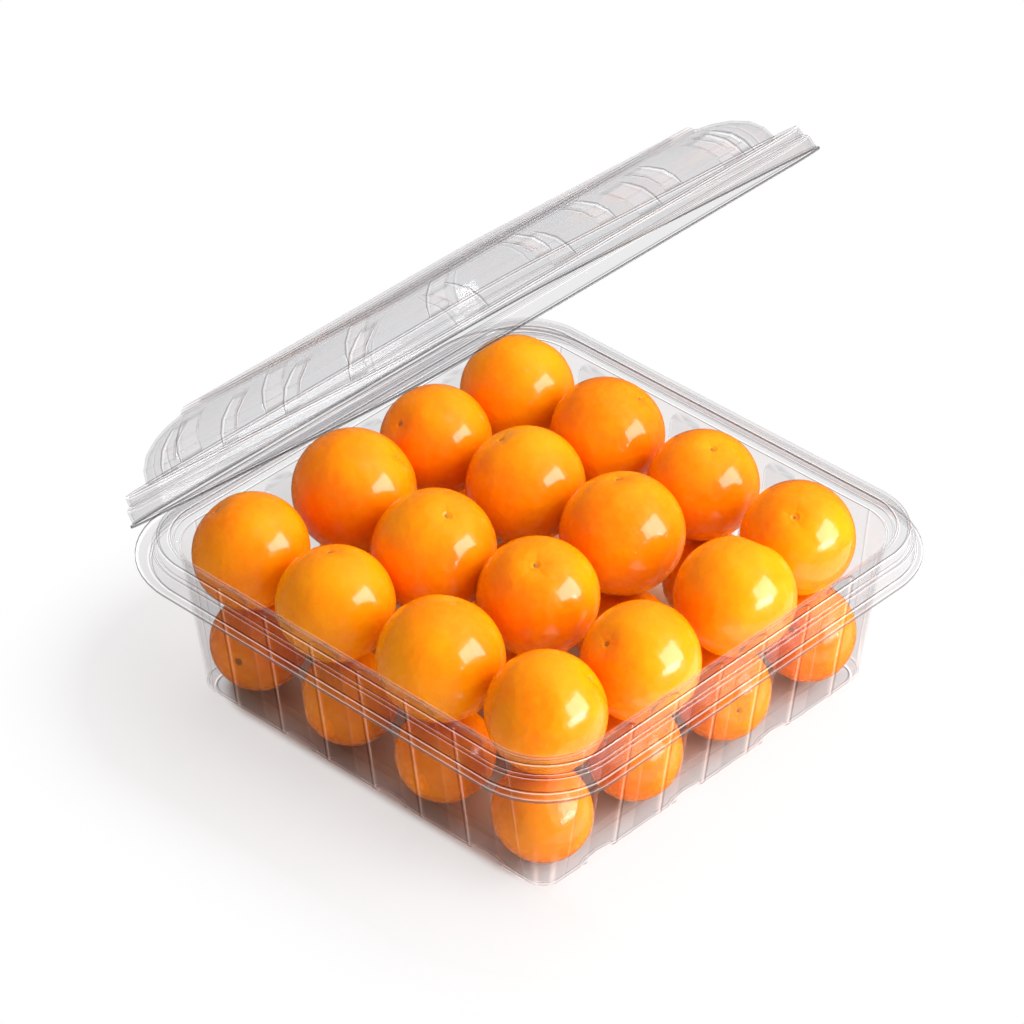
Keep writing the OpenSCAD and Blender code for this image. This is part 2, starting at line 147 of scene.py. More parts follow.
def tray_stations():
    """Outer and lower face of the tray, from the middle of its floor to its lip."""
    t = SHEET_T
    rim_r = MOUTH_R + LEDGE_W
    return [
        (HUB_HALF, 0, HUB_R, 0, 0, 0),
        (PAD_HALF, 0, PAD_HALF / 2, 0, 0, 0),
        (PAD_HALF + 1.2, FLOOR_RISE, PAD_HALF / 2 + 1, 0, 0, 0),
        (BASE_HALF - FOOT_W - 2, FLOOR_RISE, BASE_R - 2, 0, 0, 0),
        (BASE_HALF - FOOT_W, 0, BASE_R - 1, 0, FLOOR_RISE, 0),
        (BASE_HALF - 1.4, 0, BASE_R, 0, VENT_H * 0.8, 0),
        (FOOT_HALF, FOOT_Z, BASE_R + 1.4, POCKET_DEPTH * 0.7, VENT_H * 0.3, 0),
        (tray_wall_half(12), 12, BASE_R + 3.6, POCKET_DEPTH, 0, 0),
        (tray_wall_half(WALL_TOP_Z - 0.5), WALL_TOP_Z - 0.5, MOUTH_R - 1.2, POCKET_DEPTH, 0, 0),
        (WALL_TOP_HALF + 0.1, WALL_TOP_Z + 0.5, MOUTH_R - 1, 0, 0, 0),
        (MOUTH_HALF, WALL_TOP_Z + 1.4, MOUTH_R + 0.2, 0, 0, 0),
        (MOUTH_HALF + t, TRAY_H - t, MOUTH_R + t, 0, 0, 0),
        (RIM_HALF - t, TRAY_H - t, rim_r - t, 0, 0, 0),
        (RIM_HALF + SKIRT_LEAN - t, TRAY_H - RIM_STEP, rim_r + SKIRT_LEAN - t, 0, 0, 0),
        (RIM_HALF + SKIRT_LEAN + STEP_OUT - t, TRAY_H - RIM_STEP - t,
         rim_r + SKIRT_LEAN + STEP_OUT - t, 0, 0, 0),
        (LIP_HALF - 2.4 - t, LIP_Z - t, rim_r + 2 * SKIRT_LEAN + STEP_OUT - t, 0, 0, 0),
        (LIP_HALF, LIP_Z - t, LIP_R, 0, 0, BACK_REACH),
    ]


def dome_r(half):
    return max(7.0, MOUTH_R + 0.8 - DOME_HALF + half)


def lid_stations():
    """Inner face of the lid as it lies when shut, from its top panel to its flange."""
    rim_r = MOUTH_R + LEDGE_W + LID_FIT
    skirt = SKIRT_LEAN + STEP_OUT
    drop = CAP_Z - SHOULDER_Z
    rows = [
        (HUB_HALF, CAP_Z, HUB_R, 0),
        (RIDGE_HALF - 2.4, CAP_Z, dome_r(RIDGE_HALF - 2.4), 0),
        (RIDGE_HALF - 1.5, CAP_Z + RIDGE_H, dome_r(RIDGE_HALF - 1.5), 0),
        (RIDGE_HALF + 1.5, CAP_Z + RIDGE_H, dome_r(RIDGE_HALF + 1.5), 0),
        (RIDGE_HALF + 2.4, CAP_Z - 0.2, dome_r(RIDGE_HALF + 2.4), 0),
        (RIDGE_HALF + 5.5, CAP_Z - 1.0, dome_r(RIDGE_HALF + 5.5), 0),
        (RIDGE_HALF + 9.5, CAP_Z - 2.6, dome_r(RIDGE_HALF + 9.5), -STRIP_DEPTH * 0.8),
        (DOME_HALF - 3.6, CAP_Z - drop * 0.62, dome_r(DOME_HALF - 3.6), -STRIP_DEPTH),
        (DOME_HALF - 1.2, SHOULDER_Z, dome_r(DOME_HALF - 1.2), -STRIP_DEPTH * 0.9),
        (DOME_HALF, BAND_TOP, dome_r(DOME_HALF), 0),
        (BAND_IN, BAND_TOP, rim_r, 0),
        (BAND_IN + SKIRT_LEAN * 0.6, TRAY_H - RIM_STEP + 1, rim_r + 0.3, 0),
        (BAND_IN + skirt, TRAY_H - RIM_STEP + 0.4, rim_r + skirt, 0),
        (BAND_IN + skirt + SKIRT_LEAN, FLANGE_Z, rim_r + skirt + SKIRT_LEAN, 0),
    ]
    rows = [(h, z, r, d, 0, 0) for h, z, r, d in rows]
    return rows + [(LIP_HALF, FLANGE_Z, FLANGE_R, 0, 0, BACK_REACH)]


def station_table(stations):
    return np.array([[h, z, *(r if isinstance(r, tuple) else (r,) * 4), d, v, b, 0.0, 0.0]
                     for h, z, r, d, v, b in stations], float)


def offset_stations(stations, thickness):
    """The same section moved to its left by the sheet's thickness, mitred at its bends."""
    table = station_table(stations)
    ways = np.diff(table[:, :2], axis=0)
    ways /= np.linalg.norm(ways, axis=1)[:, None]
    left = np.stack([-ways[:, 1], ways[:, 0]], axis=1)
    before, after = np.vstack([left[:1], left]), np.vstack([left, left[-1:]])
    mitre = (before + after) / (1 + (before * after).sum(axis=1))[:, None] * thickness
    table[:, :2] += mitre
    table[:, 2:6] += mitre[:, :1]
    return table


def fine_section(stations, step, fine_zone, drawn):
    """Rows along a section with every bend rounded: place, facing, radii, relief.

    Drawn gives where the painted shade line and the painted highlight line lie across a bend, and
    how wide they are."""
    (dark_at, dark_w), (light_at, light_w) = drawn
    table = stations if isinstance(stations, np.ndarray) else station_table(stations)
    place = table[:, :2]
    rows = [(table[0], place[1] - place[0])]
    last = table[0]
    for i in range(1, len(table) - 1):
        before, after = place[i - 1] - place[i], place[i + 1] - place[i]
        len_a, len_b = np.linalg.norm(before), np.linalg.norm(after)
        cos = float(np.dot(before, after) / (len_a * len_b))
        turn = math.pi - math.acos(max(-1.0, min(1.0, cos)))
        foot = place[i][1] < FOOT_TOP
        radius = FOOT_BEND if foot else BEND_R
        reach = min(radius * math.tan(turn / 2) + BEND_EASE,
                    BEND_SHARE * len_a, BEND_SHARE * len_b)
        start = table[i] + (table[i - 1] - table[i]) * reach / len_a
        end = table[i] + (table[i + 1] - table[i]) * reach / len_b
        rows += leg_rows(last, start, step, fine_zone)
        line = min(1.0, turn / LINE_TURN)
        for t in BEND_ROWS:
            point = (1 - t) ** 2 * start + 2 * t * (1 - t) * table[i] + t * t * end
            way = (1 - t) * (table[i] - start)[:2] + t * (end - table[i])[:2]
            # Each bend gets a painted shade line and a painted highlight line
            dark = min(1.0, line * (FOOT_DARK if foot else 1))
            light = line * (FOOT_LIGHT if foot else BEND_LIGHT)
            point[9] = dark * max(0.0, 1 - abs(t - dark_at) / dark_w)
            point[10] = light * max(0.0, 1 - abs(t - light_at) / light_w)
            rows.append((point, way))
        last = end
    rows += leg_rows(last, table[-1], step, fine_zone)
    way = place[-1] - place[-2]
    end = table[-1].copy()
    # The sheet's outer edge gets a painted shade line with a painted highlight line just inside it
    for inward, dark, light in ((EDGE_GLINT, 0, 0), (EDGE_LINE, 0, BEND_LIGHT), (0, 1, 0)):
        row = end + (last - end) * inward / np.linalg.norm((last - end)[:2])
        row[9:11] = dark, light
        rows.append((row, way))
    points = np.array([p for p, _ in rows])
    ways = np.array([w for _, w in rows])
    ways /= np.linalg.norm(ways, axis=1)[:, None]
    facing = np.stack([-ways[:, 1], ways[:, 0]], axis=1)
    return points, facing


def leg_rows(a, b, step, fine_zone):
    """Rows between two bends: close together where a relief changes, else none."""
    if max(abs(a[6]), abs(b[6]), abs(a[7]), abs(b[7])) == 0:
        return []
    low, high, close = fine_zone
    length = float(np.linalg.norm((b - a)[:2]))
    inside = min(a[1], b[1]) < high and max(a[1], b[1]) > low
    count = max(1, int(length / (close if inside else step)))
    if inside and length > LONG_LEG:
        shares = [s for s in np.linspace(0, 1, count + 1)[1:-1]
                  if low <= a[1] + (b[1] - a[1]) * s <= high or int(s * count) % 8 == 0]
    else:
        shares = np.linspace(0, 1, count + 1)[1:-1]
    return [(a + (b - a) * s, (b - a)[:2]) for s in shares]


def side_spots(count, pitch, width):
    """Places of the points along one straight side."""
    return np.array([(i - (count - 1) / 2) * pitch + a * width / 2
                     for i in range(count) for a in ACROSS])


def turned(x, y, k):
    for _ in range(k):
        x, y = -y, x
    return x, y


def corner_points(steps, row):
    """Angles round a corner, and the painted shade lines, with fainter painted highlight lines,
    where its walls start to turn, and the painted glints by its foot.
    """
    ends = np.array([0.0, 1.0, 2.0]) * CORNER_STEP
    angle = np.concatenate([ends, np.linspace(4 * CORNER_STEP, math.pi / 2 - 4 * CORNER_STEP,
                                              steps - 5), math.pi / 2 - ends[::-1]])
    marks = np.zeros((steps + 1, 2))
    if row[6]:
        marks[[1, -2], 0] = WALL_END_LINE
        marks[[2, -3], 1] = WALL_END_LINE / 3
        middle = steps // 2
        glint = CORNER_GLINT * math.exp(-((row[1] - GLINT_Z) / GLINT_H) ** 2)
        marks[[middle - 2, middle + 2], 1] = glint
    return angle, marks


def ring_points(row, face, spots, relief, corner_steps, marked):
    """One ring of points round the pack for a row of the section, with its painted shade and
    highlight lines.
    """
    half, z = row[0], row[1]
    radii = np.maximum(row[2:6], SMALLEST_R)
    reach = np.abs(spots).max() + STRAIGHT_SPARE
    if row[6] or row[7]:
        radii = np.minimum(radii, half - reach)
    shrink = min(1.0, (half - radii.max()) / reach)
    out, lines = [], []
    for k in range(4):
        u = spots * shrink
        depth, lift, line = relief(u, row, k)
        drawn = marked * smooth_step(abs(row[6]) / FULL_DRAWN) * line
        depth, lift = depth * row[6], lift * row[7]
        angle, marks = corner_points(corner_steps, row)
        lines += [np.maximum(drawn, row[9:11]), np.maximum(marked * marks, row[9:11])]
        x, y = turned(half + depth * face[0], u, k)
        x, y = np.broadcast_to(x, u.shape), np.broadcast_to(y, u.shape)
        back = row[8] if k == 1 else 0.0
        out.append(np.stack([x, y + back, z + depth * face[1] + lift], axis=1))
        r = radii[k]
        x, y = turned(half - r + r * np.cos(angle), half - r + r * np.sin(angle), k)
        y = y + np.where(y > 0, row[8], 0.0)
        out.append(np.stack([x, y, np.full_like(x, z)], axis=1))
    return np.concatenate(out), np.concatenate(lines)


def sheet_mesh(name, stations, relief, spots, step, fine_zone, drawn, corner_steps=16):
    """A closed moulded sheet with two skins, from its section and its relief."""
    near = fine_section(stations, step, fine_zone, drawn)
    far = fine_section(offset_stations(stations, SHEET_T), step, fine_zone, drawn)
    skins = list(zip(*near)) + list(zip(*far))[::-1]
    rings, lines = zip(*[ring_points(row, face, spots, relief, corner_steps, i < len(near[0]))
                         for i, (row, face) in enumerate(skins)])
    rings, lines = list(rings), list(lines)
    size = len(rings[0])
    verts = np.concatenate(rings + [[[0, 0, rings[0][0, 2]]], [[0, 0, rings[-1][0, 2]]]])
    ids = np.arange(size)
    nxt = (ids + 1) % size
    quads = np.concatenate([np.stack([ids + a * size, nxt + a * size,
                                      nxt + (a + 1) * size, ids + (a + 1) * size], axis=1)
                            for a in range(len(rings) - 1)])
    hub_a, hub_b, end = len(verts) - 2, len(verts) - 1, (len(rings) - 1) * size
    faces = quads.tolist()
    faces += [(hub_a, int(b), int(a)) for a, b in zip(ids, nxt)]
    faces += [(hub_b, int(a) + end, int(b) + end) for a, b in zip(ids, nxt)]
    mesh = mesh_from(name, verts * MM, faces, SHEET_SHARP)
    flatten_panels(mesh)
    lines = np.concatenate(lines + [np.zeros((2, 2))])
    # Painted shade lines go in the bend field, painted highlight lines in the glint field
    add_field(mesh, "bend", lines[:, 0])
    add_field(mesh, "glint", lines[:, 1])
    return mesh


def flatten_panels(mesh):
    """Gives every vertex the facing of its large faces, so flat panels reflect as flat."""
    loops, count = len(mesh.loops), len(mesh.polygons)
    corner, sides = np.empty(loops, np.int32), np.empty(count, np.int32)
    area, facing = np.empty(count), np.empty(count * 3)
    mesh.loops.foreach_get("vertex_index", corner)
    mesh.polygons.foreach_get("loop_total", sides)
    mesh.polygons.foreach_get("area", area)
    mesh.polygons.foreach_get("normal", facing)
    share = np.repeat(facing.reshape(-1, 3) * area[:, None], sides, axis=0)
    total = np.zeros((len(mesh.vertices), 3))
    np.add.at(total, corner, share)
    total /= np.maximum(np.linalg.norm(total, axis=1), 1e-20)[:, None]
    mesh.normals_split_custom_set_from_vertices(total.tolist())


def mesh_from(name, verts, faces, sharp_deg):
    mesh = bpy.data.meshes.new(name)
    mesh.from_pydata(np.asarray(verts).tolist(), [], faces)
    mesh.validate()
    mesh.shade_smooth()
    mesh.set_sharp_from_angle(angle=math.radians(sharp_deg))
    mesh.update()
    return mesh


def add_piece(name, mesh, material, body, stands_for, middle=(0, 0, 0)):
    """Puts a finished mesh in the scene, on its body and in place of its CAD node."""
    piece = bpy.data.objects.new(name, mesh)
    bpy.context.scene.collection.objects.link(piece)
    piece.matrix_world = Matrix.Translation(middle)
    mesh.materials.append(material)
    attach(piece, body)
    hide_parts(stands_for)


def nearest_relief(u, count, pitch, width):
    """For points along a side: which pocket is nearest, and how far across it they are."""
    index = np.clip(np.round(u / pitch + (count - 1) / 2), 0, count - 1)
    return index, np.abs(u - (index - (count - 1) / 2) * pitch) / (width / 2)


def edge_lines(s, dark, light, fill):
    """A fine painted shade line round a pocket or strip, a painted highlight line inside it, and a
    faint fill of painted shade.
    """
    outer = dark * np.exp(-((s - DARK_AT) / DARK_W) ** 2)
    inner = light * np.exp(-((s - LIGHT_AT) / LIGHT_W) ** 2)
    return np.stack([np.maximum(outer, fill * (s < FILL_TO)), inner], axis=1)


def across_profile(s):
    """Depth across a pocket or strip: rounded sides and a slightly bowed middle."""
    return smooth_step((SIDE_END - s) / SIDE_W) * (0.97 + 0.03 * (1 - np.minimum(s, 1) ** 2))


def tray_relief(u, row, k):
    """Depth, vent lift and painted lines of the arched pockets, at points along side k: painted
    shade round, over and inside each pocket, and a painted highlight line inside its edge.
    """
    z = row[1]
    index, s = nearest_relief(u, POCKETS, POCKET_PITCH, POCKET_W)
    arch = ARCH_TOP - ARCH_RISE * (1 - np.sqrt(1 - np.minimum(s / SIDE_END, 1) ** ARCH_POWER))
    below = smooth_step((arch + ARCH_EASE - z) / ARCH_EASE)
    open_vent = (index + (0 if k in (0, 3) else 1)) % 2 == 0
    lens = np.sqrt(np.maximum(0.0, 1 - (s / VENT_END) ** 2)) * open_vent
    # A painted shade line just over each pocket's arch
    over = ARCH_LINE * np.exp(-((z - arch - ARCH_EASE / 2) / ARCH_LINE_H) ** 2) * (s < ARCH_END)
    lines = edge_lines(s, *POCKET_LINES) * below[:, None]
    lines[:, 0] = np.maximum(lines[:, 0], over)
    return across_profile(s) * below, lens, lines


def lid_relief(u, row, _):
    """Depth, no lift, and painted lines of the strips on the lid's shoulder: painted shade lines
    round them and across their ends, and painted highlight inside them.
    """
    _, s = nearest_relief(u, STRIPS, STRIP_PITCH, STRIP_W)
    lines = edge_lines(s, *STRIP_LINES)
    # A faint painted highlight fills each strip
    lines[:, 1] = np.maximum(lines[:, 1], STRIP_FILL * (s < FILL_TO))
    # A painted shade line closes each strip's ends
    end = np.exp(-((abs(row[6]) - CLOSING_AT) / CLOSING_W) ** 2)
    closing = CLOSING_LINE * end * (s < STRIP_LINE_END)
    lines[:, 0] = np.maximum(lines[:, 0], closing)
    return across_profile(s), np.zeros_like(u), lines


def lid_turn(angle_deg):
    """The lid's turn about the crease, from shut to the angle it rests at."""
    crease = Vector(HINGE["pos_m"])
    turn = Matrix.Rotation(math.radians(angle_deg), 4, Vector(HINGE["axis"]))
    return Matrix.Translation(crease) @ turn @ Matrix.Translation(-crease)


# Node helpers -------------------------------------------------------------------------------

class Nodes:
    """Short calls for placing nodes and links in one tree."""

    def __init__(self, tree):
        self.tree = tree
        self.column = 0

    def add(self, kind, sockets=None, **settings):
        node = self.tree.nodes.new(kind)
        node.location = (220 * self.column, -160 * (self.column % 5))
        self.column += 1
        for key, value in settings.items():
            setattr(node, key, value)
        for key, value in (sockets or {}).items():
            if isinstance(value, bpy.types.NodeSocket):
                self.tree.links.new(value, node.inputs[key])
            else:
                node.inputs[key].default_value = value
        return node

    def math(self, operation, a, b=0.0, clamp=False):
        return self.add("ShaderNodeMath", {0: a, 1: b}, operation=operation,
                        use_clamp=clamp).outputs[0]

    def ramp(self, value, low, high, to_low=0.0, to_high=1.0):
        return self.add("ShaderNodeMapRange", {0: value, 1: low, 2: high, 3: to_low, 4: to_high},
                        interpolation_type="SMOOTHSTEP").outputs[0]

    def mix(self, share, a, b):
        return self.add("ShaderNodeMix", {0: share, 6: a, 7: b}, data_type="RGBA").outputs[2]

    def field(self, name):
        return self.add("ShaderNodeAttribute", attribute_name=name).outputs["Fac"]

    def bump(self, amount, height, **sockets):
        strength, depth = amount
        return self.add("ShaderNodeBump", {"Strength": strength, "Distance": depth,
                                           "Height": height, **sockets}).outputs[0]

    def noise(self, where, scale, detail, roughness=0.5):
        return self.add("ShaderNodeTexNoise", {"Vector": where, "Scale": scale,
                                               "Detail": detail,
                                               "Roughness": roughness}).outputs[0]


def new_material(name):
    material = bpy.data.materials.new(name)
    material.use_nodes = True
    material.node_tree.nodes.clear()
    return material, Nodes(material.node_tree)


# Scales of the textures, coarse to fine
RIPPLES, SCUFFS = 45.0, 420.0
DRIFT, SPECKS, WAVES, MOTTLE, PORES = 55.0, 95.0, 170.0, 420.0, 1100.0
PLASTIC_IOR, RIND_IOR, COAT_IOR = 1.45, 1.45, 1.5
# How the sheet greys toward its edge-on parts, and the share of light rays that it lets through
EDGE_POWER, STEEP_POWER, STEEP_SHARE, LET_THROUGH = 4.0, 16.0, 0.4, 0.99
# Least and greatest roughness, and what a scar adds
SHEET_ROUGH, RIND_ROUGH, SCAR_ROUGH, COAT_ROUGH = (0.03, 0.09), (0.24, 0.32), 0.3, 0.07
# Strength of a bump and its depth in metres
SHEET_BUMP, FINE_BUMP, WAVE_BUMP = (0.05, 0.0006), (0.25, 0.0001), (0.9, 0.0006)
# Where a mark starts and ends on its own texture or field
SCUFF_ENDS, DRIFT_ENDS, MOTTLE_ENDS, GRAIN_ENDS = (0.35, 0.8), (0.3, 0.75), (0.35, 0.7), (0.3, 0.8)
PIT_ENDS, SPECKED, SPECK_ENDS = (0.0, 0.45), (0.86, 0.90), (0.03, 0.055)
RING_ENDS, CORE_ENDS = (0.55, 0.75), (0.86, 0.95)
# How much of the rind's colour a mark covers, and how deep the fine ones are
MOTTLED, PITTED, RINGED, CORED, SPOTTED = 0.3, 0.2, 0.75, 0.8, 0.75
MOTTLE_HEIGHT, PIT_HEIGHT, RIND_SPECULAR = 0.5, -0.3, 0.15


def sheet_material(looks):
    """Clear moulded sheet: shows what is behind it, greyer and glossier where seen edge on, with
    painted shade lines in its bends and painted highlight lines beside them.
    """
    material, n = new_material("clear_plastic")
    where = n.add("ShaderNodeTexCoord").outputs["Object"]
    ripple = n.noise(where, RIPPLES, 3.0)
    scuffs = n.noise(where, SCUFFS, 4.0, 0.6)
    bump = n.bump(SHEET_BUMP, ripple)
    facing = n.add("ShaderNodeLayerWeight", {"Blend": 0.5}).outputs["Facing"]
    # The bend field holds painted shade lines, the glint field painted highlight lines
    bend, glint = n.field("bend"), n.field("glint")
    edge_on = n.math("POWER", facing, EDGE_POWER)
    steep = n.math("MULTIPLY", n.math("POWER", facing, STEEP_POWER), STEEP_SHARE)
    # Painted shade lines in the bends darken the sheet toward the shade tint
    painted_bend_shade = n.math("MULTIPLY", bend, looks.bend_shade)
    through = n.mix(edge_on, (*looks.sheet_tint, 1), (*looks.edge_tint, 1))
    through = n.mix(steep, through, (*looks.bend_shade_tint, 1))
    through = n.mix(painted_bend_shade, through, (*looks.bend_shade_tint, 1))
    rough = n.ramp(scuffs, *SCUFF_ENDS, *SHEET_ROUGH)
    # Painted highlight lines: a white layer lit from either side of the sheet
    pale = n.mix(n.math("MULTIPLY", glint, looks.bend_glint), (0, 0, 0, 1), (1, 1, 1, 1))
    painted_highlight = n.add("ShaderNodeAddShader", {
        0: n.add("ShaderNodeBsdfDiffuse", {"Color": pale}).outputs[0],
        1: n.add("ShaderNodeBsdfTranslucent", {"Color": pale}).outputs[0]})
    gloss = n.add("ShaderNodeBsdfPrincipled", {
        "Base Color": (*looks.haze, 1), "Roughness": rough, "IOR": PLASTIC_IOR,
        "Normal": bump})
    nothing = n.add("ShaderNodeBsdfTransparent", {"Color": (0, 0, 0, 1)})
    kept = n.ramp(facing, 0.5, 1.0, looks.face_gloss, looks.edge_gloss)
    gloss = n.add("ShaderNodeMixShader", {0: kept, 1: nothing.outputs[0], 2: gloss.outputs[0]})
    clear = n.add("ShaderNodeBsdfTransparent", {"Color": through})
    seen = n.add("ShaderNodeAddShader", {0: clear.outputs[0], 1: gloss.outputs[0]})
    seen = n.add("ShaderNodeAddShader", {0: seen.outputs[0], 1: painted_highlight.outputs[0]})
    lit = n.add("ShaderNodeBsdfTransparent", {"Color": (LET_THROUGH, LET_THROUGH, LET_THROUGH, 1)})
    path = n.add("ShaderNodeLightPath")
    open_ray = n.math("MAXIMUM", path.outputs["Is Shadow Ray"], path.outputs["Is Diffuse Ray"])
    mix = n.add("ShaderNodeMixShader", {0: open_ray, 1: seen.outputs[0], 2: lit.outputs[0]})
    n.add("ShaderNodeOutputMaterial", {"Surface": mix.outputs[0]})
    return material


def fruit_material(looks):
    """Thin glossy rind: warm colour that turns yellower in patches, fine pores, a stem scar."""
    material, n = new_material("orange_rind")
    tone, pole = n.field("tone"), n.field("pole")
    where = n.add("ShaderNodeVectorMath", {
        0: n.add("ShaderNodeTexCoord").outputs["Object"], 1: tone}, operation="ADD").outputs[0]
    drift = n.noise(where, DRIFT, 3.0, 0.5)
    mottle = n.noise(where, MOTTLE, 3.0, 0.6)
    pores = n.add("ShaderNodeTexVoronoi", {"Vector": where, "Scale": PORES})
    warm = n.math("ADD", n.ramp(drift, *DRIFT_ENDS), tone, clamp=True)
    rind = n.mix(warm, (*looks.deep_orange, 1), (*looks.gold, 1))
    rind = n.mix(n.ramp(mottle, *MOTTLE_ENDS, 0.0, MOTTLED), rind, (*looks.gold, 1))
    pit = n.ramp(pores.outputs["Distance"], *PIT_ENDS, 1.0, 0.0)
    rind = n.mix(n.math("MULTIPLY", pit, PITTED), rind, (*looks.pore, 1))
    specks = n.add("ShaderNodeTexVoronoi", {"Vector": where, "Scale": SPECKS})
    chosen = n.ramp(specks.outputs["Color"], *SPECKED)
    spot = n.math("MULTIPLY", n.ramp(specks.outputs["Distance"], *SPECK_ENDS, 1.0, 0.0), chosen)
    scar_ring, scar_core = n.ramp(pole, *RING_ENDS), n.ramp(pole, *CORE_ENDS)
    rind = n.mix(n.math("MULTIPLY", scar_ring, RINGED), rind, (*looks.scar, 1))
    rind = n.mix(n.math("MULTIPLY", scar_core, CORED), rind, (*looks.stem, 1))
    rind = n.mix(n.math("MULTIPLY", spot, SPOTTED), rind, (*looks.scar, 1))
    height = n.math("ADD", n.math("MULTIPLY", mottle, MOTTLE_HEIGHT),
                    n.math("MULTIPLY", pit, PIT_HEIGHT))
    waves = n.noise(where, WAVES, 2.0, 0.5)
    bump = n.bump(WAVE_BUMP, waves, Normal=n.bump(FINE_BUMP, height))
    rough = n.math("ADD", n.ramp(mottle, *GRAIN_ENDS, *RIND_ROUGH),
                   n.math("MULTIPLY", scar_ring, SCAR_ROUGH))
    skin = n.add("ShaderNodeBsdfPrincipled", {
        "Base Color": rind, "Roughness": rough, "IOR": RIND_IOR, "Normal": bump,
        "Specular IOR Level": RIND_SPECULAR, "Coat Weight": looks.coat,
        "Coat Roughness": COAT_ROUGH, "Coat IOR": COAT_IOR})
    n.add("ShaderNodeOutputMaterial", {"Surface": skin.outputs[0]})
    return material


def material_named(name, build, looks):
    return bpy.data.materials.get(name) or build(looks)


# Fruit --------------------------------------------------------------------------------------

# The fruit that shows a large stem scar through the wall: its lean, spin and size of scar
SCARRED, SCAR_OUT = "fruit_lower_4", (82.0, -70.0, 2.2)
# How far a stem scar reaches from its middle, in degrees, and how much the fruit differ in colour
SCAR_REACH, TONE_REACH = 4.2, 0.35
# Seeds of the fruit's own shapes: where they start, and how far the lower layer's are moved on
SEED, LOWER_SEED = 40, 100


def fruit_number(node):
    return int(node.rsplit("_", 1)[1])


def fruit_pose(node):
    """Lean and spin of a fruit, as in the part's source."""
    n = fruit_number(node)
    if "lower" in node:
        return 65 + 35 * math.sin(math.radians(137 * n)), 77 * n
    return 32 + 18 * math.sin(math.radians(97 * n)), 51 * n


def bump_at(angle, middle, width):
    return np.exp(-((angle - middle) / width) ** 2)


def fruit_mesh(name, across, seed, squat, scar=1.0, rings=40, spokes=72):
    """A round fruit with a creased stem hollow, a faint blossom point and a shape of its own.

    Amounts are shares of its radius, and angles are degrees from the stem."""
    rng = np.random.default_rng(seed)
    lat = np.concatenate([np.linspace(-90, 62, rings), 90 - np.geomspace(27, 0.5, 22)])
    lon = np.linspace(0, 360, spokes, endpoint=False)
    a, b = np.meshgrid(np.radians(lat), np.radians(lon), indexing="ij")
    waves = rng.normal(size=6)
    phase = rng.uniform(0, 2 * math.pi, size=4)
    lump = 0.010 * waves[0] * np.cos(a) * np.cos(2 * b + phase[0])
    lump += 0.006 * waves[1] * np.cos(a) ** 2 * np.cos(3 * b + phase[1])
    lump += 0.008 * waves[2] * np.sin(2 * a) * np.cos(b + phase[2])
    top = 90 - np.degrees(a)
    hollow = 0.060 * bump_at(top, 0, 13.0) + 0.025 * bump_at(top, 0, 5.0)
    crease = bump_at(top, 9, 8.0) * np.cos(a) ** 0.3
    hollow += 0.010 * crease * np.maximum(0, np.cos(5 * b + phase[3])) ** 2
    scar_ring = 0.012 * bump_at(top / scar, 5.2, 1.3) + 0.020 * bump_at(top / scar, 0, 1.9)
    point = 0.012 * bump_at(top, 180, 9.0)
    radius = across / 2 * (1 + lump - hollow + scar_ring + point)
    x, y = radius * np.cos(a) * np.cos(b), radius * np.cos(a) * np.sin(b)
    z = radius * np.sin(a) * squat
    verts = np.stack([x, y, z], axis=-1)[1:].reshape(-1, 3)
    rows = len(lat) - 1
    verts = np.concatenate([verts, [[0, 0, z[0].mean()]], [[0, 0, z[-1].mean()]]])
    faces = [(i * spokes + j, i * spokes + (j + 1) % spokes,
              (i + 1) * spokes + (j + 1) % spokes, (i + 1) * spokes + j)
             for i in range(rows - 1) for j in range(spokes)]
    faces += [(rows * spokes, (j + 1) % spokes, j) for j in range(spokes)]
    last = (rows - 1) * spokes
    faces += [(rows * spokes + 1, last + j, last + (j + 1) % spokes) for j in range(spokes)]
    mesh = mesh_from(name, verts, faces, FRUIT_SHARP)
    strength = float(rng.uniform(0.75, 1.0)) if rng.uniform() < 0.8 else 1.0
    cap = bump_at(top[1:, 0] / scar, 0, SCAR_REACH)
    cap = np.concatenate([np.repeat(cap, spokes), [0.0, 1.0]])
    add_field(mesh, "pole", cap * strength)
    add_field(mesh, "tone", np.full(len(verts), float(rng.uniform(-TONE_REACH, TONE_REACH))))
    return mesh


def add_field(mesh, name, values):
    field = mesh.attributes.new(name, "FLOAT", "POINT")
    field.data.foreach_set("value", np.asarray(values, np.float32))


def place_fruit(node, looks):
    """Builds one fruit in the middle of its CAD node's box, as wide as the box's longest side."""
    low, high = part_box(node)
    lean, spin, scar = SCAR_OUT if node == SCARRED else (*fruit_pose(node), 1.0)
    middle = (low + high) / 2
    across = max(high - low) * looks.fruit_fill
    piece_name = node + "_skin"
    seed = SEED + fruit_number(node) + LOWER_SEED * ("lower" in node)
    mesh = fruit_mesh(piece_name, across, seed, looks.fruit_squat, scar)
    mesh.transform(Matrix.Rotation(math.radians(spin), 4, "Z")
                   @ Matrix.Rotation(math.radians(lean), 4, "X"))
    add_piece(piece_name, mesh, material_named("orange_rind", fruit_material, looks),
              "tray_body", node, middle)


# Settings -----------------------------------------------------------------------------------

